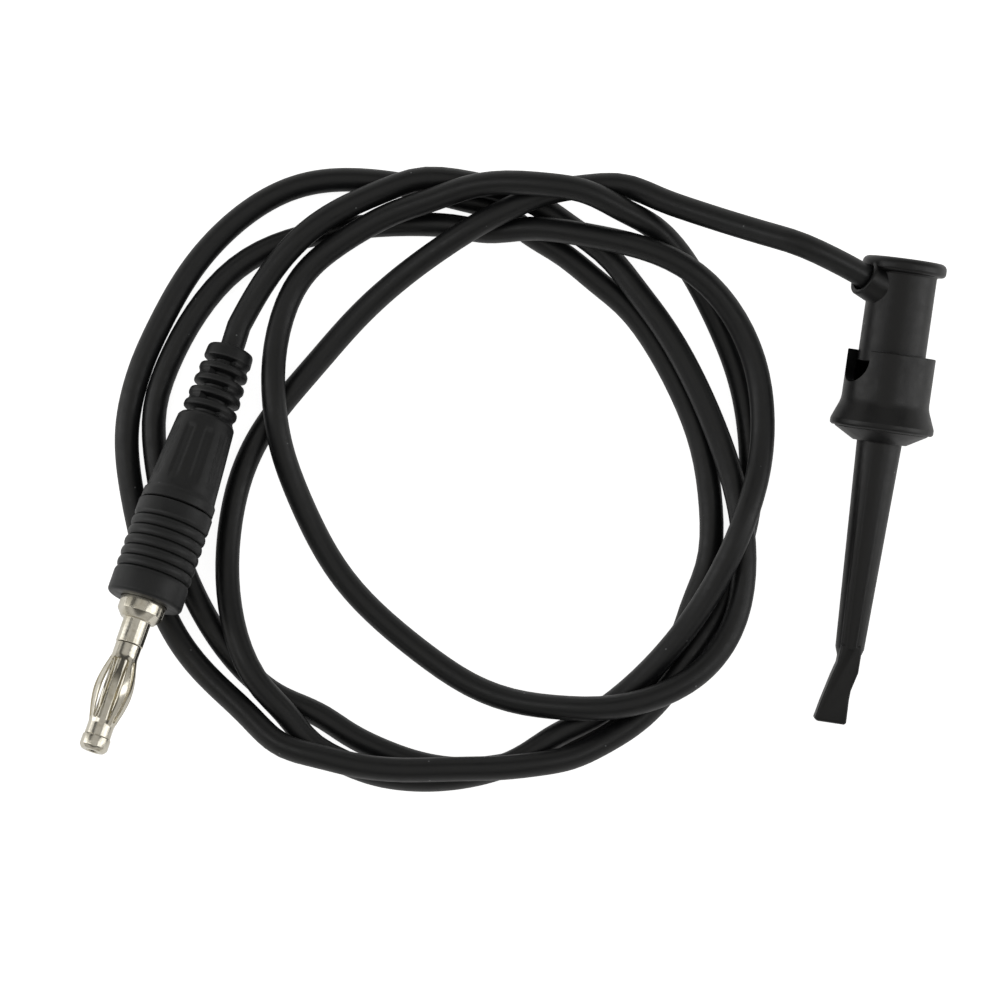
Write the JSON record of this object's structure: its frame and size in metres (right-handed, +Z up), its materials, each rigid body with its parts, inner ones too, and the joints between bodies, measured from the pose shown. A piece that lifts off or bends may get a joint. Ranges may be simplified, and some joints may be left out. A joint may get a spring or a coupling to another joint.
{
  "type": "test lead",
  "caption": "Flexible test lead in a loose coil, with a spring-loaded hook clip on one end and a banana plug with a leaf-sprung pin on the other.",
  "frame": {"origin": "Bottom centre of the hook clip's bounding box, on the surface that the lead lies on.", "axes": "+Z up. +Y along the clip towards its thumb cap, seen from above. -X towards the coiled cable and the plug."},
  "size_m": [0.107, 0.0841, 0.0165],
  "materials": {
    "clip_nylon": "moulded black nylon, satin with a little gloss",
    "plug_moulding": "moulded black thermoplastic, satin",
    "cable_jacket": "black soft jacket, satin",
    "nickel_plate": "warm bright nickel plate on turned and formed brass",
    "spring_steel": "drawn stainless spring wire",
    "bare_copper": "bare stranded copper, out of sight"
  },
  "bodies": {
    "plunger_side": {"plunger": "clip_nylon", "shank_holder": "clip_nylon", "hook_shank": "spring_steel", "return_spring": "spring_steel", "crimp_ferrule": "nickel_plate", "conductor_end_clip": "bare_copper", "cable": "cable_jacket", "plug_boot": "plug_moulding", "plug_grip": "plug_moulding", "plug_pin": "nickel_plate", "tip_cap": "nickel_plate", "conductor_end_plug": "bare_copper"},
    "barrel": {"clip_barrel": "clip_nylon", "clip_nose": "clip_nylon"},
    "cage": {"cage_spring": "nickel_plate"}
  },
  "joints": [
    {"name": "barrel_slide", "type": "slide", "parent": "plunger_side", "child": "barrel", "axis": [0, 0.9903, 0.1392], "range_m": [0, 0.009], "stiffness_N_per_m": 300, "springref_m": -0.005, "deforming": ["return_spring"]},
    {"name": "cage_spin", "type": "hinge", "parent": "plunger_side", "child": "cage", "pos_m": [-0.09387, -0.03978, 0.0124], "axis": [-0.1598, -0.9705, 0.1805], "continuous": true}
  ]
}
